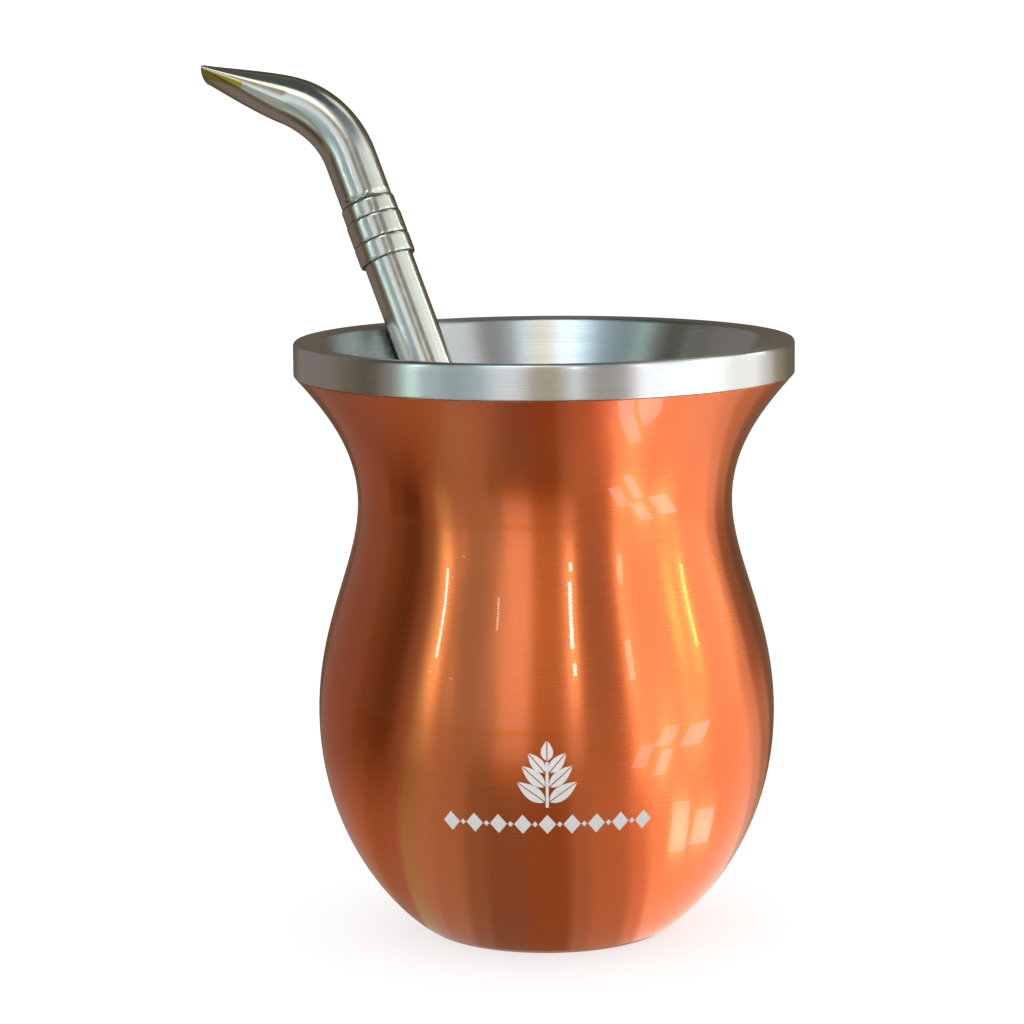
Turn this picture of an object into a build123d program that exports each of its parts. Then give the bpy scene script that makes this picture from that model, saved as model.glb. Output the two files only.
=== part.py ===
from build123d import *

import os
from math import cos, radians, sin, sqrt, tan

# Mate cup of two formed steel sheets, with a metal drinking straw standing in it.
# Millimetres. Origin: centre of the foot, on the surface that the cup stands on.
# +Z is up the cup, -Y is the cup's front, and the straw leans to -X and +Y.

# ---- cup, outside profile (radii from the cup's axis) ----
foot_radius = 20.1
foot_angle = 24.3          # how steeply the bowl leaves the foot, from level
foot_fullness = 0.23       # share of the bowl's width that keeps that slope
belly_radius = 38.65
belly_curve = 53.3         # upright radius of curvature at the widest place
waist_radius = 31.55
waist_curve = 23.1         # upright radius of curvature at the narrowest place
rim_radius = 42.0
flare_angle = 41.5         # how far the flare leans out where it meets the band
flare_fullness = 0.47      # share of the flare's width that keeps that lean

# ---- cup, heights stacked from the foot ----
bowl_height = 37.4         # foot to belly
shoulder_height = 36.1     # belly to waist
flare_height = 21.5        # waist to the steel band
band_height = 5.7          # upright steel band at the rim
bare_height = 0.2          # uncoated strip of the flare, below the band

# ---- cup, walls ----
shell_wall = 0.6
wall_gap = 1.6
liner_wall = 0.6
band_wall = 1.0
lip_width = 3.8
lip_slope = 5.0            # the lip falls inwards
liner_lip_angle = 25.0     # how far the inner wall leans out at the lip
lip_outer_round = 0.7
lip_inner_round = 0.4
foot_round = 0.8

# ---- straw, tube and collar ----
stem_radius = 4.4
tube_wall = 0.6
collar_lengths = [3.6, 4.2, 2.9]        # from the lowest ring up
collar_walls = [0.62, 0.58, 0.45]       # how far each ring stands out from the stem
collar_round = 0.45

# ---- straw, mouthpiece ----
pipe_step = 0.3            # the pipe is this much larger in radius than the stem
pipe_straight = 8.8
bend_radius = 17.5
bend_angle = 51.7
bend_flattening = 0.7      # lost across the pipe by the end of the bend
tip_length = 15.6
tip_thickness = 2.5
tip_spread = 2.6           # gained in width by the mouth end
tip_round = 0.9            # length over which the mouth end is turned in
tip_power = 1.34           # above 1, the pipe flattens faster towards its end

# ---- straw, strainer ----
strainer_swell = 1.4       # the strainer is this much larger in radius than the stem
strainer_length = 24.0
strainer_shoulder = 5.0
strainer_socket = 4.0
hole_radius = 0.6
hole_rows = 6
holes_per_row = 10
hole_pitch = 3.0

# ---- straw, how it stands in the cup ----
lean_angle = 25.4          # from upright
lean_heading = 142.4       # plan direction of the lean, from +X
bend_turn = 37.6           # turn of the mouthpiece about the stem
rest_heading = 133.5       # plan direction of the place on the lip it rests at
rest_clearance = 0.15
collar_above_lip = 12.4    # along the stem, from the lip to the lowest ring

waist_height = bowl_height + shoulder_height
band_bottom = waist_height + flare_height
cup_height = band_bottom + band_height
coat_top = band_bottom - bare_height
wall_total = shell_wall + wall_gap + liner_wall
lip_inner_radius = rim_radius - lip_width
lip_inner_height = cup_height - lip_width * tan(radians(lip_slope))
collar_top = collar_above_lip + sum(collar_lengths)
pipe_size = 2 * (stem_radius + pipe_step)
bend_thickness = pipe_size - bend_flattening
tip_width = pipe_size + tip_spread
strainer_radius = stem_radius + strainer_swell

REST_STEPS = 4             # times the straw is moved up to the wall it rests on
TINY = 1e-3


def end_handle(reach, curve):
    """Handle length that gives a cubic curve this end radius of curvature."""
    return sqrt(2.0 / 3.0 * reach * curve)


def vessel_curves(inset, foot_z, top, top_angle):
    """Bowl, shoulder and flare in the XZ plane, each the four points of a cubic curve."""
    foot = Vector(foot_radius - inset, 0, foot_z)
    belly = Vector(belly_radius - inset, 0, bowl_height)
    waist = Vector(waist_radius - inset, 0, waist_height)
    rise = Vector(0, 0, 1)

    foot_slope = Vector(1, 0, tan(radians(foot_angle)))
    foot_handle = foot + foot_slope * foot_fullness * (belly.X - foot.X)
    top_slope = Vector(1, 0, 1 / tan(radians(top_angle)))
    top_handle = top - top_slope * flare_fullness * (top.X - waist.X)

    belly_bend = belly_curve - inset
    waist_bend = waist_curve + inset
    step_in = belly.X - waist.X
    bowl = (
        foot,
        foot_handle,
        belly - rise * end_handle(belly.X - foot_handle.X, belly_bend),
        belly,
    )
    shoulder = (
        belly,
        belly + rise * end_handle(step_in, belly_bend),
        waist - rise * end_handle(step_in, waist_bend),
        waist,
    )
    flare = (
        waist,
        waist + rise * end_handle(top_handle.X - waist.X, waist_bend),
        top_handle,
        top,
    )
    return [bowl, shoulder, flare]


def end_beside(end, handle, far_handle, turn, distance):
    """End and handle of a cubic curve moved sideways; turn is 1 at its start, else -1."""
    near = handle - end
    far = far_handle - handle
    along = near.normalized()
    inwards = Vector(-along.Z, 0, along.X) * turn
    bend = 2.0 / 3.0 * turn * (near.X * far.Z - near.Z * far.X) / near.length**3
    new_end = end + inwards * distance
    return new_end, new_end + near * (1 - bend * distance)


def curves_beside(curves, distance):
    """Cubic curves beside joined ones; a positive distance goes inwards."""
    beside = []
    for start, low_handle, high_handle, end in curves:
        new_start, new_low = end_beside(start, low_handle, high_handle, 1, distance)
        new_end, new_high = end_beside(end, high_handle, low_handle, -1, distance)
        beside.append((new_start, new_low, new_high, new_end))
    return beside


def section_to_axis(curves, low_z, high_z, top_corners=()):
    """Closed half section from the cup's axis out to joined curves and corners."""
    low_end = curves[0][0]
    top = [curves[-1][-1], *top_corners]
    high_end = top[-1]
    corners = [
        *top,
        Vector(high_end.X, 0, high_z),
        Vector(0, 0, high_z),
        Vector(0, 0, low_z),
        Vector(low_end.X, 0, low_z),
        low_end,
    ]
    sides = [Bezier(*curve) for curve in curves]
    for start, end in zip(corners, corners[1:]):
        if (end - start).length > TINY:
            sides.append(Line(start, end))
    return make_face(Wire(sides))


def slab_section(radius, low_z, high_z):
    """Rectangle of the half plane, from the cup's axis out to a radius."""
    middle = (low_z + high_z) / 2
    return Plane.XZ * Pos(radius / 2, middle) * Rectangle(radius, high_z - low_z)


def rings_at(solid, radius, height):
    """Round edges of a turned solid at a radius and height."""
    found = []
    for edge in solid.edges().filter_by(GeomType.CIRCLE):
        same_radius = abs(edge.radius - radius) < TINY
        if same_radius and abs(edge.arc_center.Z - height) < TINY:
            found.append(edge)
    return found


def cup_sections():
    """Half sections of the outer shell and of the liner with its lip and band."""
    outer_top = Vector(rim_radius, 0, band_bottom)
    outer_curves = vessel_curves(0, 0, outer_top, flare_angle)
    inner_top = Vector(lip_inner_radius, 0, lip_inner_height)
    inner_curves = vessel_curves(wall_total, wall_total, inner_top, liner_lip_angle)

    lip_corners = [Vector(rim_radius, 0, cup_height), inner_top]
    blank = section_to_axis(outer_curves, 0, lip_inner_height, lip_corners)
    cavity = section_to_axis(inner_curves, wall_total, lip_inner_height)

    shell_curves = curves_beside(outer_curves, shell_wall)
    shell_inside = section_to_axis(shell_curves, shell_wall, cup_height)
    liner_curves = curves_beside(inner_curves, -liner_wall)
    liner_outside = section_to_axis(liner_curves, wall_total - liner_wall, cup_height)
    under_lip = slab_section(rim_radius - band_wall, 0, lip_inner_height - band_wall)
    between_walls = (shell_inside & under_lip) - liner_outside

    below_coat_top = slab_section(2 * rim_radius, -1, coat_top)
    shell = (blank - shell_inside) & below_coat_top
    liner = blank - cavity - between_walls - shell
    return shell, liner


def make_cup():
    """Outer shell, and the liner that turns over into the lip and the band."""
    shell_section, liner_section = cup_sections()
    shell = revolve(shell_section, Axis.Z)
    shell = fillet(rings_at(shell, foot_radius, 0), foot_round)
    liner = revolve(liner_section, Axis.Z)
    liner = fillet(rings_at(liner, rim_radius, cup_height), lip_outer_round)
    inner_edge = rings_at(liner, lip_inner_radius, lip_inner_height)
    liner = fillet(inner_edge, lip_inner_round)
    return {"cup_shell": shell, "cup_liner": liner}


def straw_plane(liner):
    """Frame of the straw: origin at lip height, Z up the stem, X the bend's way."""
    lean = radians(lean_angle)
    heading = radians(lean_heading)
    up_stem = Vector(sin(lean) * cos(heading), sin(lean) * sin(heading), cos(lean))
    down_lean = Vector(cos(lean) * cos(heading), cos(lean) * sin(heading), -sin(lean))
    turn = radians(bend_turn)
    bend_way = down_lean * cos(turn) + up_stem.cross(down_lean) * sin(turn)

    side = Vector(cos(radians(rest_heading)), sin(radians(rest_heading)), 0)
    reach = lip_inner_radius - stem_radius / cos(lean)
    for _ in range(REST_STEPS):
        origin = side * reach + Vector(0, 0, cup_height)
        axis = Line(origin - up_stem * flare_height, origin + up_stem * band_height)
        gap = axis.distance_to(liner) - stem_radius - rest_clearance
        reach += gap / cos(lean)
    print("straw reach at lip height", round(reach, 3))
    return Plane(origin=side * reach + Vector(0, 0, cup_height), x_dir=bend_way, z_dir=up_stem)


def make_stem(bottom, top):
    """Plain tube of the straw."""
    length = top - bottom
    tube = Cylinder(stem_radius, length) - Cylinder(stem_radius - tube_wall, length)
    return Pos(0, 0, (bottom + top) / 2) * tube


def make_collar():
    """Rounded rings pressed on the top of the stem."""
    rings = {}
    bottom = collar_above_lip
    for number, (length, wall) in enumerate(zip(collar_lengths, collar_walls), 1):
        ring = Cylinder(stem_radius + wall, length)
        ring = fillet(ring.edges().filter_by(GeomType.CIRCLE), collar_round)
        ring = ring - Cylinder(stem_radius, length)
        rings[f"straw_ring_{number}"] = Pos(0, 0, bottom + length / 2) * ring
        bottom += length
    return rings


def pipe_stations():
    """Places along the mouthpiece: centre, direction, thickness and width there."""
    bore_way = Vector(0, 0, 1)
    straight_steps = 3
    bend_steps = 6
    tip_steps = 6
    stations = []
    for step in range(straight_steps):
        centre = bore_way * (collar_top + pipe_straight * step / straight_steps)
        stations.append((centre, bore_way, pipe_size, pipe_size))

    bend_middle = Vector(bend_radius, 0, collar_top + pipe_straight)
    for step in range(bend_steps + 1):
        share = step / bend_steps
        turn = radians(bend_angle * share)
        along = Vector(sin(turn), 0, cos(turn))
        centre = bend_middle + Vector(-cos(turn), 0, sin(turn)) * bend_radius
        late = max(0.0, 2 * share - 1)
        thickness = pipe_size + (bend_thickness - pipe_size) * late**2
        stations.append((centre, along, thickness, pipe_size))

    bend_end = stations[-1][0]
    for step in range(1, tip_steps + 1):
        share = step / tip_steps
        centre = bend_end + along * (tip_length - tip_round) * share
        thickness = bend_thickness - (bend_thickness - tip_thickness) * share**tip_power
        width = pipe_size + (tip_width - pipe_size) * share
        stations.append((centre, along, thickness, width))
    end = bend_end + along * tip_length
    stations.append((end, along, tip_thickness - tip_round, tip_width - tip_round))
    return stations


def pipe_body(inset):
    """Mouthpiece as a solid, drawn in from the outside by an inset."""
    sections = []
    for centre, along, thickness, width in pipe_stations():
        plane = Plane(origin=centre, x_dir=along.cross(Vector(0, 1, 0)), z_dir=along)
        half_thickness = max(thickness / 2 - inset, tube_wall / 2)
        sections.append(plane * Ellipse(half_thickness, width / 2 - inset))
    return loft(sections)


def make_mouthpiece():
    """Pipe that bends over and flattens to a mouth with a slot through it."""
    return pipe_body(0) - pipe_body(tube_wall)


def make_strainer(dome_z):
    """Closed round end with rows of small holes, and a socket for the stem."""
    body_top = dome_z + strainer_length
    ledge = body_top + strainer_shoulder

    def turned(inset, neck):
        low = dome_z - strainer_radius + inset
        dome = JernArc((0, low), (1, 0), strainer_radius - inset, 90)
        wall = Polyline(
            (strainer_radius - inset, dome_z),
            (strainer_radius - inset, body_top),
            (neck, ledge),
            (neck, ledge + strainer_socket),
            (0, ledge + strainer_socket),
            (0, low),
        )
        return revolve(Plane.XZ * make_face([dome, wall]), Axis.Z)

    body = turned(0, stem_radius + tube_wall) - turned(tube_wall, stem_radius - tube_wall)
    body -= Pos(0, 0, ledge + strainer_socket / 2) * Cylinder(stem_radius, strainer_socket)

    drills = []
    first_row = dome_z + (strainer_length - hole_pitch * (hole_rows - 1)) / 2
    for row in range(hole_rows):
        for place in range(holes_per_row):
            turn = 360 / holes_per_row * (place + row % 2 / 2)
            across = Pos(strainer_radius, 0, 0) * Rot(0, 90, 0)
            drill = across * Cylinder(hole_radius, 4 * tube_wall)
            drills.append(Pos(0, 0, first_row + hole_pitch * row) * Rot(0, 0, turn) * drill)
    return body - drills, ledge


def make_straw(liner):
    """All the straw's pieces, moved to where it stands in the cup."""
    dome_height = wall_total + strainer_radius + rest_clearance
    dome_z = -(cup_height - dome_height) / cos(radians(lean_angle))
    strainer, stem_bottom = make_strainer(dome_z)
    pieces = {
        "straw_strainer": strainer,
        "straw_stem": make_stem(stem_bottom, collar_top),
        "straw_mouthpiece": make_mouthpiece(),
        **make_collar(),
    }
    place = straw_plane(liner).location
    return {name: place * piece for name, piece in pieces.items()}


os.makedirs("parts", exist_ok=True)
cup = make_cup()
straw = make_straw(cup["cup_liner"])
for node, solid in {**cup, **straw}.items():
    export_step(solid, f"parts/{node}.step")
    box = solid.bounding_box()
    print(node, round(solid.volume, 1), box.min, box.max)
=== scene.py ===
from math import cos, pi, radians, sin, sqrt, tan

import bmesh
import bpy
from mathutils import Matrix, Vector


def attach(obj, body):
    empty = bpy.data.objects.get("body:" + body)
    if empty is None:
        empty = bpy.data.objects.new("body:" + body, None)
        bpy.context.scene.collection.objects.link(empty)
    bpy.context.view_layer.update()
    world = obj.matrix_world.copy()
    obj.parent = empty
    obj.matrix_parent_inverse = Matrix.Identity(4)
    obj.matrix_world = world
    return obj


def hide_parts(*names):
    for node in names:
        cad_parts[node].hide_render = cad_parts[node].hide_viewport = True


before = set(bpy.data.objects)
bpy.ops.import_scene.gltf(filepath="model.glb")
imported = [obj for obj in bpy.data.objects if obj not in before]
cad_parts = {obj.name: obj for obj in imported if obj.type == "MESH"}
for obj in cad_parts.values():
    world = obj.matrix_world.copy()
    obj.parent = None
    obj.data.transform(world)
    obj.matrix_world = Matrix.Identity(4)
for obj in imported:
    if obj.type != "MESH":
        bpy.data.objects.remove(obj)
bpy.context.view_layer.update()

# Mate cup of two formed steel sheets under copper lacquer, with its steel straw.
# Sizes are in millimetres up to the last step of each piece, which makes them metres.
# +Z is up the cup, -Y is the cup's front, and the straw leans to -X and +Y.

MM = 0.001
TURN = 2 * pi

# ---- cup sizes, radii from the cup's axis and heights from the foot ----
FOOT_RADIUS = 20.1
FOOT_ANGLE = radians(24.3)
FOOT_FULLNESS = 0.23
BELLY_RADIUS = 38.65
BELLY_CURVE = 53.3
WAIST_RADIUS = 31.55
WAIST_CURVE = 23.1
RIM_RADIUS = 42.0
FLARE_ANGLE = radians(41.5)
FLARE_FULLNESS = 0.47
BOWL_HEIGHT = 37.4
WAIST_HEIGHT = BOWL_HEIGHT + 36.1
BAND_BOTTOM = WAIST_HEIGHT + 21.5
CUP_HEIGHT = BAND_BOTTOM + 5.7
COAT_TOP = BAND_BOTTOM - 0.2
SHEET = 0.6
WALL_TOTAL = 2.8
BAND_WALL = 1.0
LIP_WIDTH = 3.8
LIP_SLOPE = radians(5.0)
LIP_INNER_RADIUS = RIM_RADIUS - LIP_WIDTH
LIP_INNER_HEIGHT = CUP_HEIGHT - LIP_WIDTH * tan(LIP_SLOPE)
LINER_LIP_ANGLE = radians(25.0)

# ---- straw sizes, heights along the straw from the level of the lip ----
STEM_RADIUS = 4.4
TUBE_WALL = 0.6
COLLAR_BOTTOM = 12.4
COLLAR_LENGTHS = (3.6, 4.2, 2.9)
COLLAR_WALLS = (0.62, 0.58, 0.45)
COLLAR_TOP = COLLAR_BOTTOM + sum(COLLAR_LENGTHS)
PIPE_SIZE = 9.4
PIPE_STRAIGHT = 8.8
BEND_RADIUS = 17.5
BEND_ANGLE = radians(51.7)
BEND_THICKNESS = 8.7
TIP_LENGTH = 15.6
TIP_THICKNESS = 2.5
TIP_WIDTH = 12.0
TIP_POWER = 1.34
STRAINER_SWELL = 1.4
STRAINER_LENGTH = 24.0
STRAINER_SHOULDER = 5.0
LEAN_ANGLE = radians(25.4)
LEAN_HEADING = radians(142.4)
BEND_TURN = radians(37.6)
REST_HEADING = radians(133.5)
REST_REACH = 33.182
REST_CLEARANCE = 0.15

# ---- fineness of the skins ----
CUP_STEPS_ROUND = 288
STRAW_STEPS_ROUND = 96
MERGE_DISTANCE = 0.0005


# ---------------------------------------------------------------- outlines
def end_handle(reach, curve):
    """Handle length that gives a cubic curve this end radius of curvature."""
    return sqrt(2.0 / 3.0 * reach * curve)


def vessel_curves(inset, foot_z, top, top_angle):
    """Bowl, shoulder and flare as (radius, height) points of three cubic curves."""
    foot = Vector((FOOT_RADIUS - inset, foot_z))
    belly = Vector((BELLY_RADIUS - inset, BOWL_HEIGHT))
    waist = Vector((WAIST_RADIUS - inset, WAIST_HEIGHT))
    rise = Vector((0, 1))
    foot_handle = foot + Vector((1, tan(FOOT_ANGLE))) * FOOT_FULLNESS * (belly.x - foot.x)
    top_handle = top - Vector((1, 1 / tan(top_angle))) * FLARE_FULLNESS * (top.x - waist.x)
    belly_bend = BELLY_CURVE - inset
    waist_bend = WAIST_CURVE + inset
    step_in = belly.x - waist.x
    return (
        (foot, foot_handle,
         belly - rise * end_handle(belly.x - foot_handle.x, belly_bend), belly),
        (belly, belly + rise * end_handle(step_in, belly_bend),
         waist - rise * end_handle(step_in, waist_bend), waist),
        (waist, waist + rise * end_handle(top_handle.x - waist.x, waist_bend),
         top_handle, top),
    )


def outer_curves():
    """Outside of the lacquered wall, from the foot to the band."""
    return vessel_curves(0, 0, Vector((RIM_RADIUS, BAND_BOTTOM)), FLARE_ANGLE)


def inner_curves():
    """Face of the inner wall, from the cup's floor to the lip."""
    lip = Vector((LIP_INNER_RADIUS, LIP_INNER_HEIGHT))
    return vessel_curves(WALL_TOTAL, WALL_TOTAL, lip, LINER_LIP_ANGLE)


def along_curves(curves, steps=26, beside=0.0):
    """Points along joined cubic curves, moved inwards by a distance."""
    points = []
    for index, (a, b, c, d) in enumerate(curves):
        for step in range(0 if index == 0 else 1, steps + 1):
            t = step / steps
            u = 1 - t
            place = a * u**3 + b * 3 * u * u * t + c * 3 * u * t * t + d * t**3
            way = ((b - a) * u * u + (c - b) * 2 * u * t + (d - c) * t * t).normalized()
            points.append(place + Vector((-way.y, way.x)) * beside)
    return points


def softened(before, corner, after, reach, steps=5):
    """Rounds a corner between two neighbours, with the flats beside it held straight."""
    widest = 0.45
    hold = 1.9
    into = before - corner
    out = after - corner
    start_way = into.normalized() * min(reach, into.length * widest)
    end_way = out.normalized() * min(reach, out.length * widest)
    made = [corner + start_way * hold]
    for step in range(steps + 1):
        t = step / steps
        made.append((corner + start_way) * (1 - t)**2 + corner * 2 * t * (1 - t)
                    + (corner + end_way) * t * t)
    made.append(corner + end_way * hold)
    return made


def outline(marks):
    """Outline from (point, corner reach) marks; a reach of 0 is a plain point."""
    points = []
    for index, (point, reach) in enumerate(marks):
        if reach and 0 < index < len(marks) - 1:
            points.extend(softened(marks[index - 1][0], point, marks[index + 1][0], reach))
        else:
            points.append(point)
    return points


def plain(points):
    return [(point, 0) for point in points]


def below(points, height):
    """The part of a rising line under a height, ending exactly on it."""
    kept = [point for point in points if point.y < height]
    low = kept[-1]
    high = points[len(kept)]
    share = (height - low.y) / (high.y - low.y)
    return [*kept, low.lerp(high, share)]


def above(points, height):
    """The part of a rising line over a height, starting exactly on it."""
    start = below(points, height)[-1]
    return [start, *[point for point in points if point.y > height]]


# ---------------------------------------------------------------- turned skins
def skin_tree():
    """Skin stretched round a line of stations, each an ellipse with two half reaches."""
    tree = bpy.data.node_groups.new("skin round stations", "GeometryNodeTree")
    face = tree.interface
    face.new_socket("Stations", in_out="INPUT", socket_type="NodeSocketGeometry")
    steps = face.new_socket("Steps Round", in_out="INPUT", socket_type="NodeSocketInt")
    merge = face.new_socket("Merge Distance", in_out="INPUT", socket_type="NodeSocketFloat")
    coat = face.new_socket("Finish", in_out="INPUT", socket_type="NodeSocketMaterial")
    face.new_socket("Skin", in_out="OUTPUT", socket_type="NodeSocketGeometry")
    nodes, link = tree.nodes, tree.links.new

    def computed(operation, *sources):
        """Math node on sources that are each a socket or a number."""
        node = nodes.new("ShaderNodeMath")
        node.operation = operation
        for socket, source in zip(node.inputs, sources):
            if isinstance(source, (int, float)):
                socket.default_value = source
            else:
                link(source, socket)
        return node.outputs[0]

    # a flat grid with one row for each station and one column for each step round
    given = nodes.new("NodeGroupInput")
    count = nodes.new("GeometryNodeAttributeDomainSize")
    link(given.outputs["Stations"], count.inputs["Geometry"])
    last = computed("SUBTRACT", count.outputs["Point Count"], 1)
    grid = nodes.new("GeometryNodeMeshGrid")
    grid.inputs["Size X"].default_value = 1
    link(last, grid.inputs["Size Y"])
    link(computed("ADD", given.outputs["Steps Round"], 1), grid.inputs["Vertices X"])
    link(count.outputs["Point Count"], grid.inputs["Vertices Y"])

    # each grid point finds its turn from its column and its station from its row
    place = nodes.new("GeometryNodeInputPosition")
    split = nodes.new("ShaderNodeSeparateXYZ")
    link(place.outputs[0], split.inputs[0])
    turn = computed("MULTIPLY", split.outputs["X"], TURN)
    row = computed("ADD", split.outputs["Y"], computed("DIVIDE", last, 2))
    index = computed("ROUND", row)

    def sampled(source):
        node = nodes.new("GeometryNodeSampleIndex")
        node.data_type = "FLOAT_VECTOR"
        link(given.outputs["Stations"], node.inputs["Geometry"])
        link(source, node.inputs["Value"])
        link(index, node.inputs["Index"])
        return node.outputs["Value"]

    def swung(reach, wave):
        """A station's half reach, scaled by a wave of the turn."""
        named = nodes.new("GeometryNodeInputNamedAttribute")
        named.data_type = "FLOAT_VECTOR"
        named.inputs["Name"].default_value = reach
        node = nodes.new("ShaderNodeVectorMath")
        node.operation = "SCALE"
        link(sampled(named.outputs["Attribute"]), node.inputs[0])
        link(computed(wave, turn), node.inputs["Scale"])
        return node.outputs[0]

    def added(first, second):
        node = nodes.new("ShaderNodeVectorMath")
        node.operation = "ADD"
        link(first, node.inputs[0])
        link(second, node.inputs[1])
        return node.outputs[0]

    reach = added(swung("first_reach", "COSINE"), swung("second_reach", "SINE"))
    moved = nodes.new("GeometryNodeSetPosition")
    link(grid.outputs["Mesh"], moved.inputs["Geometry"])
    link(added(sampled(place.outputs[0]), reach), moved.inputs["Position"])
    joined = nodes.new("GeometryNodeMergeByDistance")
    link(moved.outputs[0], joined.inputs["Geometry"])
    link(given.outputs["Merge Distance"], joined.inputs["Distance"])
    smooth = nodes.new("GeometryNodeSetShadeSmooth")
    link(joined.outputs[0], smooth.inputs["Geometry"])
    real = nodes.new("GeometryNodeRealizeInstances")
    link(smooth.outputs[0], real.inputs[0])
    finish = nodes.new("GeometryNodeSetMaterial")
    link(real.outputs[0], finish.inputs["Geometry"])
    link(given.outputs["Finish"], finish.inputs["Material"])
    result = nodes.new("NodeGroupOutput")
    link(finish.outputs[0], result.inputs[0])
    return tree, (steps.identifier, merge.identifier, coat.identifier)


def evaluated_mesh(source):
    """Plain mesh of an object with its modifiers applied; the object is removed."""
    seen = source.evaluated_get(bpy.context.evaluated_depsgraph_get())
    mesh = bpy.data.meshes.new_from_object(seen)
    bpy.data.objects.remove(source)
    return mesh


def skin_piece(name, stations, steps_round, material, replaces):
    """Piece made by the skin tree from (centre, first reach, second reach) stations."""
    tree, (steps_id, merge_id, coat_id) = SKIN
    line = bpy.data.meshes.new(name + "_line")
    edges = [(index, index + 1) for index in range(len(stations) - 1)]
    line.from_pydata([centre * MM for centre, _, _ in stations], edges, [])
    for attribute, place in (("first_reach", 1), ("second_reach", 2)):
        layer = line.attributes.new(attribute, "FLOAT_VECTOR", "POINT")
        for index, station in enumerate(stations):
            layer.data[index].vector = station[place] * MM
    source = bpy.data.objects.new(name + "_line", line)
    bpy.context.scene.collection.objects.link(source)
    maker = source.modifiers.new("skin", "NODES")
    maker.node_group = tree
    maker[steps_id] = steps_round
    maker[merge_id] = MERGE_DISTANCE * MM
    maker[coat_id] = material
    return finished_piece(name, evaluated_mesh(source), material, replaces)


def finished_piece(name, mesh, material, replaces, smooth=True):
    """Plain mesh piece with outward faces, riding on the object's one body."""
    shape = bmesh.new()
    shape.from_mesh(mesh)
    bmesh.ops.dissolve_degenerate(shape, dist=1e-7, edges=shape.edges)
    bmesh.ops.recalc_face_normals(shape, faces=shape.faces)
    if shape.calc_volume(signed=True) < 0:
        bmesh.ops.reverse_faces(shape, faces=shape.faces)
    for face in shape.faces:
        face.smooth = smooth
    shape.to_mesh(mesh)
    shape.free()
    mesh.name = name
    mesh.materials.clear()
    mesh.materials.append(material)
    piece = bpy.data.objects.new(name, mesh)
    bpy.context.scene.collection.objects.link(piece)
    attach(piece, "root")
    if replaces:
        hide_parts(*replaces)
    return piece


def turned_stations(points, base=Matrix.Identity(4)):
    """Stations of a piece turned about an axis from its (radius, height) outline."""
    turned = base.to_3x3()
    return [
        (
            base @ Vector((0, 0, point.y)),
            turned @ Vector((point.x, 0, 0)),
            turned @ Vector((0, point.x, 0)),
        )
        for point in points
    ]


# ---------------------------------------------------------------- finishes
def node_maker(owner):
    """Empties the owner's node tree and gives a maker and a linker of its nodes.

    The maker takes a node's kind, its inputs' values by name, and its settings.
    """
    tree = owner.node_tree
    tree.nodes.clear()

    def make(kind, values=None, **settings):
        node = tree.nodes.new(kind)
        for key, value in settings.items():
            setattr(node, key, value)
        for socket, value in (values or {}).items():
            node.inputs[socket].default_value = value
        return node

    return make, tree.links.new


def new_material(name):
    material = bpy.data.materials.new(name)
    material.use_nodes = True
    return material


def drifting_colour(make, link, source, first, second):
    """Colour that goes from one end to the other as the source rises."""
    colour = make("ShaderNodeMix", {"A": (*first, 1), "B": (*second, 1)}, data_type="RGBA")
    link(source, colour.inputs["Factor"])
    return colour.outputs["Result"]


def clouds(make, link, place, scale, detail):
    """Soft clouds with a value from 0 to 1."""
    mist = make("ShaderNodeTexNoise", {"Scale": scale, "Detail": detail})
    link(place, mist.inputs["Vector"])
    return mist.outputs["Fac"]


def ridges(make, link, source, strength, height):
    """Relief that turns the surface a little where the source changes."""
    ridge = make("ShaderNodeBump", {"Strength": strength, "Distance": height})
    link(source, ridge.inputs["Height"])
    return ridge.outputs[0]


def way_round(make, link, place, axis_point, axis_way):
    """Direction round an axis, which brushing on a lathe follows."""
    centred = make("ShaderNodeVectorMath", operation="SUBTRACT")
    centred.inputs[1].default_value = axis_point
    link(place, centred.inputs[0])
    round_way = make("ShaderNodeVectorMath", operation="CROSS_PRODUCT")
    round_way.inputs[0].default_value = axis_way
    link(centred.outputs[0], round_way.inputs[1])
    unit = make("ShaderNodeVectorMath", operation="NORMALIZE")
    link(round_way.outputs[0], unit.inputs[0])
    return unit.outputs[0]


def past_limits(make, link, place, point, limits):
    """1 where a place lies past every limit's distance from a point, and else 0."""
    edge = 0.14 * MM
    offset = make("ShaderNodeVectorMath", operation="SUBTRACT")
    offset.inputs[1].default_value = point
    link(place, offset.inputs[0])
    covered = None
    for way, start in limits:
        part = make("ShaderNodeVectorMath", operation="DOT_PRODUCT")
        part.inputs[1].default_value = way
        link(offset.outputs[0], part.inputs[0])
        inside = make("ShaderNodeMapRange", {"From Min": start, "From Max": start + edge})
        link(part.outputs["Value"], inside.inputs["Value"])
        if covered is None:
            covered = inside.outputs[0]
            continue
        both = make("ShaderNodeMath", operation="MULTIPLY")
        link(covered, both.inputs[0])
        link(inside.outputs[0], both.inputs[1])
        covered = both.outputs[0]
    return covered


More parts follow.
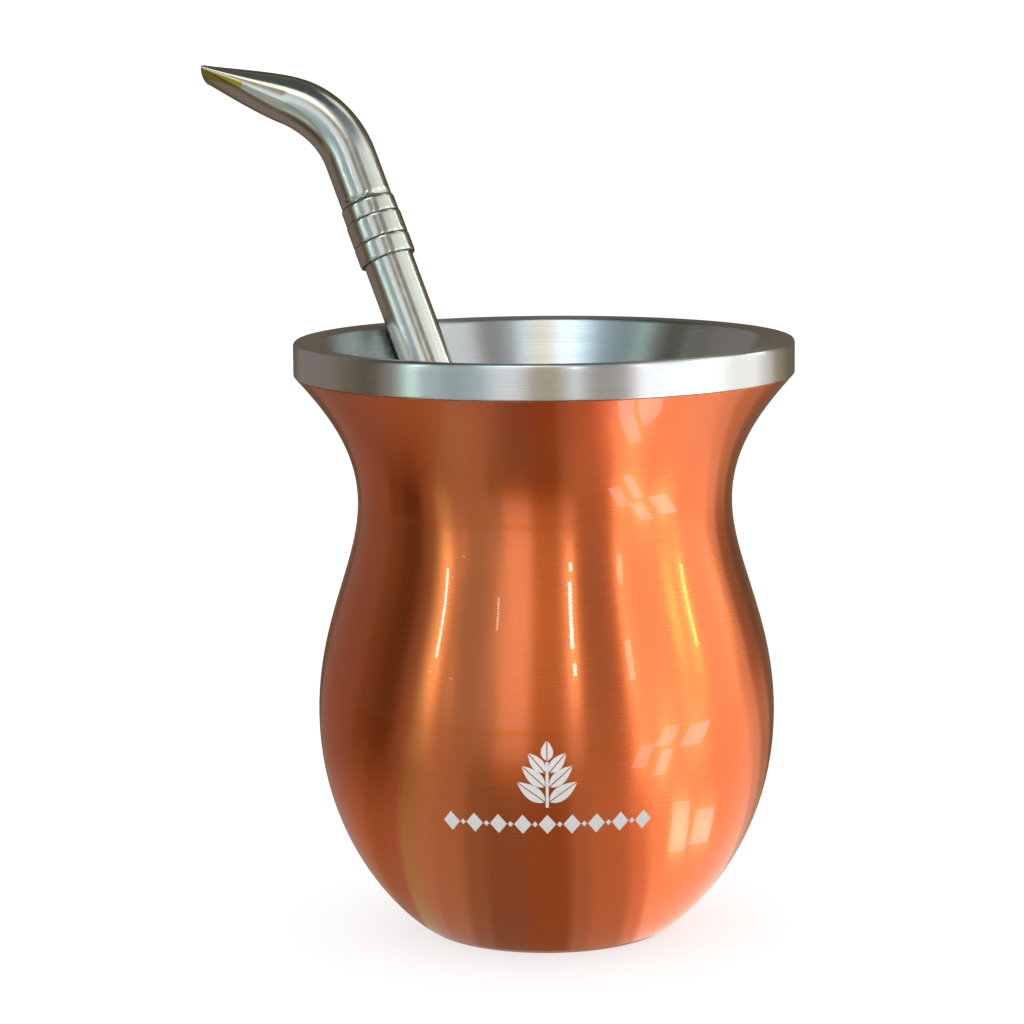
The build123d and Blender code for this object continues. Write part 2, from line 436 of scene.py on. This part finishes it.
def metal_finish(name, deep, bright, rough, aniso, coat=0.0, coat_rough=0.03,
                 grain=(40, 40, 1500), bump=0.03, tangent=None, coloured_strip=None,
                 cloud=28.0, rough_spread=0.25, edge=(1, 1, 1)):
    """Metal with brushed grain, clouded colour and, if asked, a clear coat.

    deep and bright are the ends of the colour's drift, grain is the brushing's scale on
    each axis, tangent is the (point, way) of the axis that the brushing runs round, and
    plating is an optional (point, limits, colour): it covers the places that are, from
    the point, further than each limit's distance along each limit's way. edge is the
    colour that the metal turns to where it is seen at a low angle.
    """
    material = new_material(name)
    make, link = node_maker(material)
    place = make("ShaderNodeTexCoord").outputs["Object"]
    out = make("ShaderNodeOutputMaterial")
    metal = make("ShaderNodeBsdfPrincipled", {
        "Metallic": 1.0, "Specular Tint": (*edge, 1), "Anisotropic": aniso,
        "Coat Weight": coat, "Coat Roughness": coat_rough,
    })
    link(metal.outputs[0], out.inputs[0])

    shown = drifting_colour(make, link, clouds(make, link, place, cloud, 3.0), deep, bright)
    # optional strip of plain colour laid over the drifting colour, used for the yellow strip
    # on the mouthpiece's front side
    if coloured_strip:
        point, limits, strip_colour = coloured_strip
        strip_mix = make("ShaderNodeMix", {"B": (*strip_colour, 1)}, data_type="RGBA")
        link(past_limits(make, link, place, point, limits), strip_mix.inputs["Factor"])
        link(shown, strip_mix.inputs["A"])
        shown = strip_mix.outputs["Result"]
    link(shown, metal.inputs["Base Color"])

    stretch = make("ShaderNodeMapping", {"Scale": grain})
    link(place, stretch.inputs["Vector"])
    lines = clouds(make, link, stretch.outputs[0], 1.0, 2.0)
    spread = make("ShaderNodeMapRange", {
        "From Min": 0.3, "From Max": 0.7,
        "To Min": rough * (1 - rough_spread), "To Max": rough * (1 + rough_spread),
    })
    link(lines, spread.inputs["Value"])
    link(spread.outputs[0], metal.inputs["Roughness"])
    link(ridges(make, link, lines, bump, 0.1 * MM), metal.inputs["Normal"])
    if tangent:
        link(way_round(make, link, place, *tangent), metal.inputs["Tangent"])
        metal.inputs["Anisotropic Rotation"].default_value = 0.25
    return material


def ink_finish(name, colour):
    """Thin ink, very slightly uneven."""
    thin = [part * 0.86 for part in colour]
    material = new_material(name)
    make, link = node_maker(material)
    place = make("ShaderNodeTexCoord").outputs["Object"]
    out = make("ShaderNodeOutputMaterial")
    ink = make("ShaderNodeBsdfPrincipled")
    link(ink.outputs[0], out.inputs[0])
    mist = clouds(make, link, place, 2500.0, 2.0)
    link(drifting_colour(make, link, mist, thin, colour), ink.inputs["Base Color"])
    gloss = make("ShaderNodeMapRange", {"To Min": 0.22, "To Max": 0.4})
    link(mist, gloss.inputs["Value"])
    link(gloss.outputs[0], ink.inputs["Roughness"])
    link(ridges(make, link, mist, 0.05, 0.05 * MM), ink.inputs["Normal"])
    return material


# ---------------------------------------------------------------- straw frame
def straw_frame():
    """Place of the straw: origin at lip height, Z up the stem, X the bend's way."""
    up = Vector((sin(LEAN_ANGLE) * cos(LEAN_HEADING), sin(LEAN_ANGLE) * sin(LEAN_HEADING),
                 cos(LEAN_ANGLE)))
    down = Vector((cos(LEAN_ANGLE) * cos(LEAN_HEADING), cos(LEAN_ANGLE) * sin(LEAN_HEADING),
                   -sin(LEAN_ANGLE)))
    bend_way = down * cos(BEND_TURN) + up.cross(down) * sin(BEND_TURN)
    across = up.cross(bend_way)
    place = Matrix((bend_way, across, up)).transposed().to_4x4()
    place.translation = Vector(
        (cos(REST_HEADING) * REST_REACH, sin(REST_HEADING) * REST_REACH, CUP_HEIGHT))
    return place


STRAW = straw_frame()
SKIN = skin_tree()

# ---- finishes of this cup and straw ----
CUP_AXIS = ((0, 0, 0), (0, 0, 1))
STRAW_AXIS = (tuple(STRAW.translation * MM), tuple(STRAW.to_3x3() @ Vector((0, 0, 1))))
STEEL_DEEP = (0.58, 0.595, 0.555)
STEEL_BRIGHT = (0.71, 0.725, 0.685)
STEEL_EDGE = (0.75, 0.75, 0.7)
# yellow strip of plain colour on the mouthpiece's front side near the mouth: its colour, its
# length back from the mouth, and its reach over and under the middle
MOUTH_STRIP_COLOUR = (0.52, 0.46, 0.06)
MOUTH_STRIP_LENGTH = 7.9
MOUTH_STRIP_ABOVE = 0.2
MOUTH_STRIP_BELOW = 1.1


def mouth_yellow_strip():
    """Yellow strip of plain colour near the mouth, on the mouthpiece's front side only."""
    along = Vector((sin(BEND_ANGLE), 0, cos(BEND_ANGLE)))
    middle = Vector((BEND_RADIUS, 0, COLLAR_TOP + PIPE_STRAIGHT))
    end = middle + Vector((-along.z, 0, along.x)) * BEND_RADIUS + along * TIP_LENGTH
    way = STRAW.to_3x3() @ along
    front = Vector((0, -1, 0.15))
    front = (front - way * front.dot(way)).normalized()
    down = front.cross(way)
    if down.z > 0:
        down.negate()
    limits = (
        (tuple(way), -MOUTH_STRIP_LENGTH * MM),
        (tuple(down), -MOUTH_STRIP_ABOVE * MM),
        (tuple(-down), -MOUTH_STRIP_BELOW * MM),
        (tuple(front), 0.0),
    )
    return tuple(STRAW @ end * MM), limits, MOUTH_STRIP_COLOUR


copper = metal_finish(
    "copper lacquer", (0.82, 0.175, 0.040), (0.95, 0.225, 0.060), rough=0.27, aniso=0.88,
    coat=0.75, coat_rough=0.02, grain=(30, 30, 3600), bump=0.004, rough_spread=0.08,
    tangent=CUP_AXIS, edge=(1.0, 0.8, 0.68))
satin = metal_finish(
    "satin steel", (0.67, 0.70, 0.715), (0.735, 0.77, 0.785), rough=0.29, aniso=0.85,
    grain=(40, 40, 4200), bump=0.006, rough_spread=0.1, tangent=CUP_AXIS)
polished = metal_finish(
    "polished steel", STEEL_DEEP, STEEL_BRIGHT, rough=0.2, aniso=0.55, bump=0.008,
    grain=(700, 700, 700), cloud=60.0, tangent=STRAW_AXIS, edge=STEEL_EDGE)
mouth_metal = metal_finish(
    "polished steel with yellow mouth strip", STEEL_DEEP, STEEL_BRIGHT, rough=0.17, aniso=0.0,
    bump=0.008, grain=(700, 700, 700), cloud=60.0, coloured_strip=mouth_yellow_strip(), edge=STEEL_EDGE)
ink = ink_finish("white ink", (0.93, 0.94, 0.93))


# ---------------------------------------------------------------- cup
def make_shell():
    """Lacquered wall: flat foot, bowl, waist and flare, up to just under the band."""
    outside = below(along_curves(outer_curves()), COAT_TOP)
    inside = below(along_curves(outer_curves(), beside=SHEET), COAT_TOP)
    foot_corner = 0.35
    top_corner = 0.16
    floor_corner = 0.2
    marks = [
        (Vector((0, 0)), 0),
        (Vector((FOOT_RADIUS * 0.5, 0)), 0),
        (outside[0], foot_corner),
        *plain(outside[1:-1]),
        (outside[-1], top_corner),
        (inside[-1], top_corner),
        *plain(reversed(inside[1:-1])),
        (Vector((inside[0].x, SHEET)), floor_corner),
        (Vector((0, SHEET)), 0),
    ]
    return turned_stations(outline(marks))


def make_liner():
    """Steel inner wall with its lip, the band round the rim and the strip under it."""
    strip = above(along_curves(outer_curves()), COAT_TOP)
    hidden = above(along_curves(outer_curves(), beside=SHEET), COAT_TOP)
    hidden = [point for point in hidden if point.x < RIM_RADIUS - BAND_WALL]
    inside = along_curves(inner_curves(), steps=30)
    under_lip = LIP_INNER_HEIGHT - BAND_WALL
    behind = below(along_curves(inner_curves(), steps=30, beside=-SHEET), under_lip)
    floor_corner = 0.9
    lip_corner = 0.42
    rim_corner = 0.85
    band_corner = 0.18
    hidden_corner = 0.3
    seam_corner = 0.1
    marks = [
        (Vector((0, WALL_TOTAL)), 0),
        (Vector((inside[0].x * 0.6, WALL_TOTAL)), 0),
        (inside[0], floor_corner),
        *plain(inside[2:-1]),
        (Vector((LIP_INNER_RADIUS, LIP_INNER_HEIGHT)), lip_corner),
        (Vector((RIM_RADIUS, CUP_HEIGHT)), rim_corner),
        (Vector((RIM_RADIUS, BAND_BOTTOM)), band_corner),
        (Vector((strip[0].x, COAT_TOP)), seam_corner),
        *plain(hidden),
        (Vector((RIM_RADIUS - BAND_WALL, BAND_BOTTOM)), seam_corner),
        (Vector((RIM_RADIUS - BAND_WALL, under_lip)), hidden_corner),
        *plain(reversed(behind[1:])),
        (Vector((behind[0].x, WALL_TOTAL - SHEET)), hidden_corner),
        (Vector((0, WALL_TOTAL - SHEET)), 0),
    ]
    return turned_stations(outline(marks))


skin_piece("cup_shell_skin", make_shell(), CUP_STEPS_ROUND, copper,
           ["cup_shell"])
skin_piece("cup_liner_skin", make_liner(), CUP_STEPS_ROUND, satin,
           ["cup_liner"])


# ---------------------------------------------------------------- printed mark
# widths round the bowl and heights over the mark's foot
MARK_HEIGHT = 29.0
INK_LIFT = 0.045
INK_THICKNESS = INK_LIFT * 1.3
BOWL_LINE = along_curves(outer_curves())

TWIG_HALF_WIDTH = 0.25
TWIG_HEIGHT = 7.6
LEAF_PAIRS = ((1.0, 5.4), (3.5, 4.9), (5.9, 4.0))
LEAF_ROOT = 0.4
LEAF_TURN = 54
LEAF_TURN_STEP = 7
LEAF_WIDTH = 2.2
LEAF_WIDTH_STEP = 0.2
TOP_LEAF_ROOT = 7.8
TOP_LEAF_LENGTH = 3.2
TOP_LEAF_WIDTH = 1.8
MIDRIB_HALF_WIDTH = 0.09

ROW_HEIGHT = -2.9
ROW_PITCH = 4.1
ROW_REACH = 4
LOZENGE_HALF = (1.45, 1.65)
DOT_HALF = (0.45, 0.5)


def on_bowl(across, height):
    """Point just off the bowl's front, from a width round it and a height."""
    for low, high in zip(BOWL_LINE, BOWL_LINE[1:]):
        if low.y <= height <= high.y:
            radius = low.lerp(high, (height - low.y) / (high.y - low.y)).x
            break
    radius += INK_LIFT
    heading = across / BELLY_RADIUS
    return Vector((sin(heading) * radius, -cos(heading) * radius, height)) * MM


def leaf_half(shape, root, turn, length, width, side, steps=10):
    """One side of a pointed leaf, from its midrib out to its edge."""
    rows = []
    for step in range(steps + 1):
        share = step / steps
        swell = sin(pi * share ** 0.8) ** 0.9 if 0 < share < 1 else 0.0
        row = []
        for part in (0.0, 0.5, 1.0):
            out = side * (MIDRIB_HALF_WIDTH + part * (width / 2 * swell))
            along = length * share
            u = root[0] + along * cos(turn) - out * sin(turn)
            v = root[1] + along * sin(turn) + out * cos(turn)
            row.append(shape.verts.new(on_bowl(u, MARK_HEIGHT + v)))
        rows.append(row)
    for low, high in zip(rows, rows[1:]):
        for place in (0, 1):
            shape.faces.new((low[place], low[place + 1], high[place + 1], high[place]))


def twig(shape, half_width, height):
    """Upright twig from the mark's foot."""
    rows = []
    for across in (-half_width, 0.0, half_width):
        heights = (0.0, height / 2, height)
        rows.append([shape.verts.new(on_bowl(across, MARK_HEIGHT + up)) for up in heights])
    for first, second in zip(rows, rows[1:]):
        for place in (0, 1):
            shape.faces.new((first[place], second[place], second[place + 1], first[place + 1]))


def lozenge(shape, middle, half_width, half_height):
    """Diamond of four triangles in the row under the sprig."""
    level = MARK_HEIGHT + ROW_HEIGHT
    centre = shape.verts.new(on_bowl(middle, level))
    tips = [
        shape.verts.new(on_bowl(middle + u * half_width, level + v * half_height))
        for u, v in ((1, 0), (0, 1), (-1, 0), (0, -1))
    ]
    for first, second in zip(tips, [*tips[1:], tips[0]]):
        shape.faces.new((centre, first, second))


def make_mark():
    """Leafy sprig over a row of lozenges and dots, as thin pieces of ink."""
    shape = bmesh.new()
    twig(shape, TWIG_HALF_WIDTH, TWIG_HEIGHT)
    for level, (base, length) in enumerate(LEAF_PAIRS):
        turn_out = radians(LEAF_TURN - LEAF_TURN_STEP * level)
        width = LEAF_WIDTH - LEAF_WIDTH_STEP * level
        for side in (-1, 1):
            for half in (-1, 1):
                leaf_half(shape, (side * LEAF_ROOT, base), pi / 2 - side * turn_out, length,
                          width, half)
    for half in (-1, 1):
        leaf_half(shape, (0, TOP_LEAF_ROOT), pi / 2, TOP_LEAF_LENGTH, TOP_LEAF_WIDTH, half)
    for place in range(-ROW_REACH, ROW_REACH + 1):
        lozenge(shape, place * ROW_PITCH, *LOZENGE_HALF)
    for place in range(-ROW_REACH, ROW_REACH):
        lozenge(shape, (place + 0.5) * ROW_PITCH, *DOT_HALF)
    bmesh.ops.recalc_face_normals(shape, faces=shape.faces)
    for face in shape.faces:
        middle = face.calc_center_median()
        if face.normal.x * middle.x + face.normal.y * middle.y < 0:
            face.normal_flip()
    mesh = bpy.data.meshes.new("mark")
    shape.to_mesh(mesh)
    shape.free()
    flat = bpy.data.objects.new("mark_flat", mesh)
    bpy.context.scene.collection.objects.link(flat)
    thick = flat.modifiers.new("ink thickness", "SOLIDIFY")
    thick.thickness = INK_THICKNESS * MM
    thick.offset = -1
    return evaluated_mesh(flat)


finished_piece("printed_mark", make_mark(), ink, [], smooth=False)


# ---------------------------------------------------------------- straw
STRAINER_MIDDLE = WALL_TOTAL + STEM_RADIUS + STRAINER_SWELL + REST_CLEARANCE
STEM_BOTTOM = (-(CUP_HEIGHT - STRAINER_MIDDLE) / cos(LEAN_ANGLE)
               + STRAINER_LENGTH + STRAINER_SHOULDER)
STEM_CORNER = 0.1
COLLAR_CORNER = 0.5
# the skin of the mouthpiece stays this far inside the faceted solid that it covers
BEND_EASE = 0.09
SKIN_INSET = 0.09
TIP_EASE = 0.57
MOUTH_ROUND = 0.5


def tube_marks(low, high, outer, inner, reach):
    """Closed half section of a short tube with softened corners."""
    corners = [(inner, low), (outer, low), (outer, high), (inner, high)]
    points = [Vector(corner) for corner in corners]
    middle = Vector((inner, (low + high) / 2))
    return outline([(middle, 0), *[(point, reach) for point in points], (middle, 0)])


def straw_tube(name, low, high, outer, inner, corner):
    """Polished tube on the straw's axis, in place of the node of the same name."""
    stations = turned_stations(tube_marks(low, high, outer, inner, corner), STRAW)
    skin_piece(f"{name}_skin", stations, STRAW_STEPS_ROUND, polished, [name])


def make_tubes():
    """Stem, and the collar's rings stacked round it."""
    straw_tube("straw_stem", STEM_BOTTOM, COLLAR_TOP, STEM_RADIUS, STEM_RADIUS - TUBE_WALL,
               STEM_CORNER)
    low = COLLAR_BOTTOM
    for number, (length, wall) in enumerate(zip(COLLAR_LENGTHS, COLLAR_WALLS), 1):
        straw_tube(f"straw_ring_{number}", low, low + length, STEM_RADIUS + wall, STEM_RADIUS,
                   COLLAR_CORNER)
        low += length


def pipe_line(straight_steps=6, bend_steps=26, tip_steps=26):
    """Places along the mouthpiece: centre, direction, thickness and width."""
    places = []
    up = Vector((0, 0, 1))
    for step in range(straight_steps):
        centre = up * (COLLAR_TOP + PIPE_STRAIGHT * step / straight_steps)
        places.append((centre, up, PIPE_SIZE, PIPE_SIZE))
    middle = Vector((BEND_RADIUS, 0, COLLAR_TOP + PIPE_STRAIGHT))
    for step in range(bend_steps + 1):
        share = step / bend_steps
        turn = BEND_ANGLE * share
        along = Vector((sin(turn), 0, cos(turn)))
        reach = BEND_RADIUS - BEND_EASE * sin(pi / 2 * share)
        centre = middle + Vector((-cos(turn), 0, sin(turn))) * reach
        late = max(0.0, 2 * share - 1)
        thickness = PIPE_SIZE + (BEND_THICKNESS - PIPE_SIZE) * late**2
        places.append((centre, along, thickness, PIPE_SIZE))
    bend_end = centre
    for step in range(1, tip_steps + 1):
        share = step / tip_steps
        centre = bend_end + along * (TIP_LENGTH - TIP_EASE) * share
        thickness = BEND_THICKNESS - (BEND_THICKNESS - TIP_THICKNESS) * share**TIP_POWER
        width = PIPE_SIZE + (TIP_WIDTH - PIPE_SIZE) * share
        places.append((centre, along, thickness, width))
    return places


def make_mouthpiece():
    """Outer skin up to the mouth, round its edge, and back down the inside."""
    turned = STRAW.to_3x3()
    width_way = Vector((0, 1, 0))

    def station(place, inset, forward=0.0):
        centre, along, thickness, width = place
        side = along.cross(width_way)
        half_thickness = max(thickness / 2 - inset, TUBE_WALL / 2)
        return (
            STRAW @ (centre + along * forward),
            turned @ (side * half_thickness),
            turned @ (width_way * (width / 2 - inset)),
        )

    places = pipe_line()
    outer = [station(place, SKIN_INSET) for place in places]
    edge = []
    edge_steps = 8
    for step in range(1, edge_steps):
        turn = pi * step / edge_steps
        inset = SKIN_INSET + (TUBE_WALL - SKIN_INSET) / 2 * (1 - cos(turn))
        edge.append(station(places[-1], inset, MOUTH_ROUND * sin(turn)))
    inner = [station(place, TUBE_WALL) for place in reversed(places)]
    return [*outer, *edge, *inner, outer[0]]


make_tubes()
skin_piece("straw_mouthpiece_skin", make_mouthpiece(), STRAW_STEPS_ROUND, mouth_metal,
           ["straw_mouthpiece"])

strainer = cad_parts["straw_strainer"]
for place in strainer.material_slots:
    place.material = polished


# ---------------------------------------------------------------- camera
CAMERA_PLACE = Vector((-0.13, -586.0, 158.17))
CAMERA_YAW = radians(-0.532)
CAMERA_PITCH = radians(8.440)
CAMERA_ROLL = radians(-0.524)


def make_camera():
    """Camera by its place, heading, downward pitch and roll."""
    yaw, pitch, roll = CAMERA_YAW, CAMERA_PITCH, CAMERA_ROLL
    ahead = Vector((sin(yaw) * cos(pitch), cos(yaw) * cos(pitch), -sin(pitch)))
    level = Vector((cos(yaw), -sin(yaw), 0))
    upright = level.cross(ahead)
    right = level * cos(roll) + upright * sin(roll)
    up = upright * cos(roll) - level * sin(roll)
    data = bpy.data.cameras.new("camera")
    data.sensor_width = 36
    data.lens = 123.3
    data.clip_start = 0.01
    data.clip_end = 50
    camera = bpy.data.objects.new("camera", data)
    turned = Matrix((right, up, -ahead)).transposed().to_4x4()
    turned.translation = CAMERA_PLACE * MM
    camera.matrix_world = turned
    bpy.context.scene.collection.objects.link(camera)
    bpy.context.scene.camera = camera


make_camera()


# ---------------------------------------------------------------- studio, in metres
FLOOR_REACH = 6.0
FLOOR_GREY = 0.3
FLOOR_LIFT = 0.72
FLOOR_GLOSS = 0.3
ROOM_LEVEL = 1.3
SCREEN_STEP = 6
WHITE = (1.0, 0.98, 0.96)
WARM = (1.0, 0.90, 0.78)
CREAM = (1.0, 0.95, 0.89)
DUSK = (1.0, 0.78, 0.52)
ROSE = (1.0, 0.80, 0.72)
COOL = (0.88, 0.96, 1.0)
SKY = (0.80, 0.92, 1.15)
OLIVE = (0.95, 1.35, 1.05)
GOLD = (0.75, 1.5, 0.55)
PALE = (0.96, 1.10, 1.10)
FLOOR_CAST = (1.0, 0.93, 0.88)
AIR_CAST = (0.94, 1.0, 1.04)
SLOPE_CAST = (0.84, 0.97, 1.10)

# rings of the surround, as (distance, height): floor, wall, then the slopes over it
RINGS = (
    (0.0215, 0.0008), (0.06, 0.002), (0.13, 0.003), (0.19, 0.004), (0.38, 0.004),
    (0.50, 0.005), (0.62, 0.005), (0.86, 0.006),
    (1.0, 0.25), (1.0, 0.68), (0.84, 0.80), (0.66, 0.88), (0.36, 0.89),
)
FLOOR_RINGS = 7
SLOPE_RINGS = 2
# degrees over which one sector's light runs into the next one's
SECTOR_BLEND = 4.0
# sectors of the surround: end heading, tint, and the levels of the floor near the foot,
# further out, far off and near the wall, then of the lower wall, upper wall and slope;
# headings are in degrees, 0 in front and 90 to the right
SECTORS = (
    (-150, DUSK, 0.26, 0.20, 0.14, 0.20, 0.14, 0.13, 0.06),
    (-105, ROSE, 0.42, 0.26, 0.27, 0.24, 0.26, 0.22, 0.04),
    (-92, DUSK, 0.42, 0.24, 0.15, 0.26, 0.19, 0.18, 0.04),
    (-77, DUSK, 0.36, 0.18, 0.08, 0.25, 0.12, 0.09, 0.05),
    (-67, ROSE, 0.38, 0.22, 0.32, 0.20, 0.30, 0.20, 0.08),
    (-57, OLIVE, 0.44, 0.26, 0.60, 0.24, 0.60, 0.44, 0.16),
    (-49, PALE, 0.48, 0.36, 0.42, 0.28, 0.48, 0.42, 0.26),
    (-34, PALE, 0.42, 0.38, 0.42, 0.27, 0.48, 0.42, 0.7),
    (-24, PALE, 0.30, 0.16, 0.50, 0.27, 0.58, 0.50, 2.4),
    (-8, WHITE, 0.24, 0.08, 0.98, 0.24, 1.15, 0.98, 3.4),
    (9, DUSK, 0.28, 0.11, 0.50, 0.34, 0.56, 0.40, 3.0),
    (17, WHITE, 0.40, 0.30, 0.78, 0.46, 0.86, 0.74, 2.0),
    (33, WARM, 0.50, 0.48, 0.40, 0.50, 0.42, 0.34, 0.7),
    (41, ROSE, 0.75, 0.66, 0.42, 0.8, 0.42, 0.44, 0.4),
    (112, CREAM, 1.10, 1.05, 1.15, 1.15, 1.25, 1.3, 0.34),
    (124, WARM, 0.7, 0.8, 0.86, 0.8, 0.7, 0.6, 1.6),
    (140, DUSK, 0.5, 0.4, 0.5, 0.36, 0.26, 0.22, 1.4),
    (190, DUSK, 0.2, 0.16, 0.2, 0.2, 0.15, 0.12, 0.2),
)

# small bright panes on the wall: heading, width in degrees, lower and upper height,
# level, tint
PANE_DISTANCE = 0.99
PANES = (
    (14, 2.0, 0.42, 0.50, 24, COOL),
    (14.6, 1.8, 0.30, 0.36, 22, COOL),
    (-59, 1.6, 0.30, 0.42, 20, COOL),
    (-61, 1.2, 0.14, 0.24, 20, COOL),
    (-57, 1.0, 0.47, 0.56, 16, COOL),
    (-49, 1.0, 0.18, 0.24, 12, COOL),
    (-27, 0.9, 0.46, 0.56, 10, COOL),
    (77, 2.8, 0.36, 0.62, 8.0, GOLD),
    (86, 2.2, 0.24, 0.52, 8.0, GOLD),
    (116, 3.4, 0.04, 0.62, 7.0, WHITE),
    (44, 3.4, 0.08, 0.40, 6.0, WHITE),
)
# bright patches low down on the right: start and end heading, near and far distance,
# level, turn of the far edge in degrees
PATCH_HEIGHT = 0.005
PATCHES = (
    (49, 58, 0.20, 0.44, 4.2, 9),
    (61, 74, 0.18, 0.36, 4.4, 11),
    (36, 43, 0.13, 0.22, 3.6, 7),
    (45, 51, 0.11, 0.18, 4.4, 8),
    (48, 57, 0.045, 0.074, 3.4, 5),
    (59, 71, 0.047, 0.066, 3.2, 6),
)
CEILING_HEIGHT = 0.9
CEILING_STEPS = 24
CEILING_LEVEL = 0.1


def shown_level(make, link, camera, gloss):
    """Brightness that the background has for each kind of ray that shows it."""
    path = make("ShaderNodeLightPath")
    shown = None
    for ray, amount in (("Camera", camera), ("Glossy", gloss), ("Transmission", camera)):
        part = make("ShaderNodeMath", operation="MULTIPLY")
        part.inputs[1].default_value = amount
        link(path.outputs[f"Is {ray} Ray"], part.inputs[0])
        if shown is None:
            shown = part.outputs[0]
            continue
        most = make("ShaderNodeMath", operation="MAXIMUM")
        link(shown, most.inputs[0])
        link(part.outputs[0], most.inputs[1])
        shown = most.outputs[0]
    return shown


def floor_finish():
    """Pale matt floor, lifted to white where it is seen, that still takes shadows."""
    material = new_material("pale floor")
    make, link = node_maker(material)
    out = make("ShaderNodeOutputMaterial")
    both = make("ShaderNodeAddShader")
    matt = make("ShaderNodeBsdfDiffuse", {"Color": (FLOOR_GREY, FLOOR_GREY, FLOOR_GREY, 1)})
    glow = make("ShaderNodeEmission", {"Color": (1, 1, 1, 1)})
    link(shown_level(make, link, FLOOR_LIFT, FLOOR_GLOSS), glow.inputs["Strength"])
    link(matt.outputs[0], both.inputs[0])
    link(glow.outputs[0], both.inputs[1])
    link(both.outputs[0], out.inputs[0])
    return material


def glow_finish(name, colour, level):
    """Even light of one colour."""
    material = new_material(name)
    make, link = node_maker(material)
    out = make("ShaderNodeOutputMaterial")
    glow = make("ShaderNodeEmission", {"Color": (*colour, 1), "Strength": level})
    link(glow.outputs[0], out.inputs[0])
    return material


def surround_finish():
    """Light that follows the colours painted on the surround's corners."""
    material = new_material("surround glow")
    make, link = node_maker(material)
    out = make("ShaderNodeOutputMaterial")
    shown = make("ShaderNodeAttribute", attribute_name="glow")
    light = make("ShaderNodeEmission")
    link(shown.outputs["Color"], light.inputs["Color"])
    link(light.outputs[0], out.inputs[0])
    return material


def stage_object(name, mesh, material):
    """Part of the studio, which isn't part of the object."""
    mesh.materials.append(material)
    made = bpy.data.objects.new(name, mesh)
    bpy.context.scene.collection.objects.link(made)
    return made


def stage_mesh(name, points, faces, material):
    mesh = bpy.data.meshes.new(name)
    mesh.from_pydata(points, [], faces)
    return stage_object(name, mesh, material)


def gloss_only(panel):
    """Makes a screen show in reflections and nowhere else."""
    panel.visible_camera = False
    panel.visible_diffuse = False
    panel.visible_shadow = False
    panel.visible_transmission = False


def placed(heading, distance, height):
    """Place round the object; a heading of 0 is in front and a quarter turn is right."""
    return sin(heading) * distance, -cos(heading) * distance, height


def screen(name, start, end, low, high, level, colour, skew=0.0):
    """Glowing screen between two headings, seen in reflections only.

    low and high are the (distance, height) of its lower and upper edge; skew turns the
    upper edge by that many degrees.
    """
    steps = max(1, round((end - start) / SCREEN_STEP))
    points = []
    for step in range(steps + 1):
        heading = start + (end - start) * step / steps
        points.append(placed(radians(heading), *low))
        points.append(placed(radians(heading + skew), *high))
    faces = [(2 * s, 2 * s + 1, 2 * s + 3, 2 * s + 2) for s in range(steps)]
    gloss_only(stage_mesh(name, points, faces, glow_finish(name, colour, level)))


def ring_lights(tint, near, middle, far, edge, low, high, slope):
    """Colours of one sector's light on every ring, from the foot up."""
    floor = (near, near, middle, far, far, edge, edge)
    levels = (*floor, low, low, high, high * 0.8, slope, slope * 0.7)
    lights = []
    for ring, level in enumerate(levels):
        cast = FLOOR_CAST if ring < FLOOR_RINGS else AIR_CAST
        if ring >= len(RINGS) - SLOPE_RINGS:
            cast = SLOPE_CAST
        lights.append([part * more * level for part, more in zip(tint, cast)])
    return lights


def make_surround():
    """Soft screens on every side; they show in reflections and nowhere else."""
    stops = []
    start = SECTORS[-1][0] - 360
    for end, *sector in SECTORS:
        lights = ring_lights(*sector)
        first, last = start + SECTOR_BLEND / 2, end - SECTOR_BLEND / 2
        count = max(1, round((last - first) / SCREEN_STEP))
        for step in range(count + 1):
            stops.append((radians(first + (last - first) * step / count), lights))
        start = end
    shape = bmesh.new()
    glow = shape.verts.layers.float_color.new("glow")
    rows = []
    for heading, lights in stops:
        row = []
        for (distance, height), light in zip(RINGS, lights):
            corner = shape.verts.new(placed(heading, distance, height))
            corner[glow] = (*light, 1)
            row.append(corner)
        rows.append(row)
    for first, second in zip(rows, [*rows[1:], rows[0]]):
        for ring in range(len(RINGS) - 1):
            shape.faces.new((first[ring], second[ring], second[ring + 1], first[ring + 1]))
    mesh = bpy.data.meshes.new("surround")
    shape.to_mesh(mesh)
    shape.free()
    gloss_only(stage_object("surround", mesh, surround_finish()))


def make_world():
    """Even air: white where it is seen, and the room's level where it only lights."""
    world = bpy.data.worlds.new("studio air")
    bpy.context.scene.world = world
    world.use_nodes = True
    make, link = node_maker(world)
    out = make("ShaderNodeOutputWorld")
    air = make("ShaderNodeBackground", {"Color": (1, 1, 1, 1)})
    level = make("ShaderNodeMath", operation="MAXIMUM")
    level.inputs[1].default_value = ROOM_LEVEL
    link(shown_level(make, link, 1.0, 1.0), level.inputs[0])
    link(level.outputs[0], air.inputs["Strength"])
    link(air.outputs[0], out.inputs[0])


def make_studio():
    reach = FLOOR_REACH
    corners = [(-reach, -reach, 0), (reach, -reach, 0), (reach, reach, 0), (-reach, reach, 0)]
    stage_mesh("floor", corners, [(0, 1, 2, 3)], floor_finish())
    make_surround()
    for number, (heading, width, low, high, level, tint) in enumerate(PANES, 1):
        screen(f"pane_{number}", heading - width / 2, heading + width / 2,
               (PANE_DISTANCE, low), (PANE_DISTANCE, high), level, tint)
    for number, (start, end, near, far, level, skew) in enumerate(PATCHES, 1):
        screen(f"patch_{number}", start, end, (near, PATCH_HEIGHT), (far, PATCH_HEIGHT),
               level, SKY, skew)
    turns = [TURN * step / CEILING_STEPS for step in range(CEILING_STEPS)]
    lid = [(sin(turn), cos(turn), CEILING_HEIGHT) for turn in turns]
    gloss_only(stage_mesh("ceiling", lid, [tuple(range(CEILING_STEPS))],
                          glow_finish("ceiling", COOL, CEILING_LEVEL)))
    make_world()


make_studio()
bpy.context.scene.view_settings.view_transform = "Standard"
